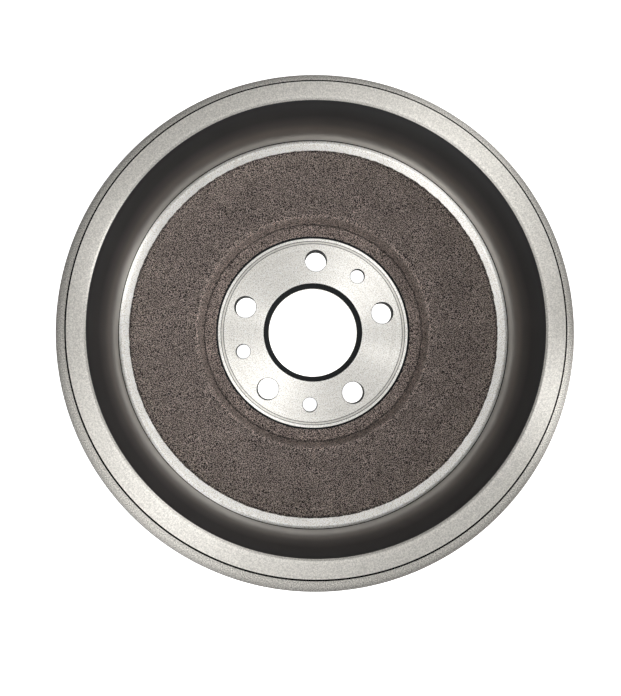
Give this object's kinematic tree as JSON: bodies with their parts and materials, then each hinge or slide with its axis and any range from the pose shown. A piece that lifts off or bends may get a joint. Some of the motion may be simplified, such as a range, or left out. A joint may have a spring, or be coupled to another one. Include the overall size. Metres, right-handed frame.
{
  "type": "brake drum",
  "caption": "Cast iron brake drum, open side up: turned braking ring and flanged lip, rough cast web, recessed hub face with a bore, stud holes and screw holes.",
  "frame": {"origin": "centre of the wheel seat, the closed outer face that the drum rests on", "axes": "+Z along the axis towards the open side, +Y towards one stud hole"},
  "size_m": [0.3326, 0.3326, 0.0795],
  "materials": {
    "cast_iron": "turned bright on the working faces, rough as cast on the web and the outside"
  },
  "bodies": {
    "root": {"brake_drum": "cast_iron"}
  },
  "joints": []
}
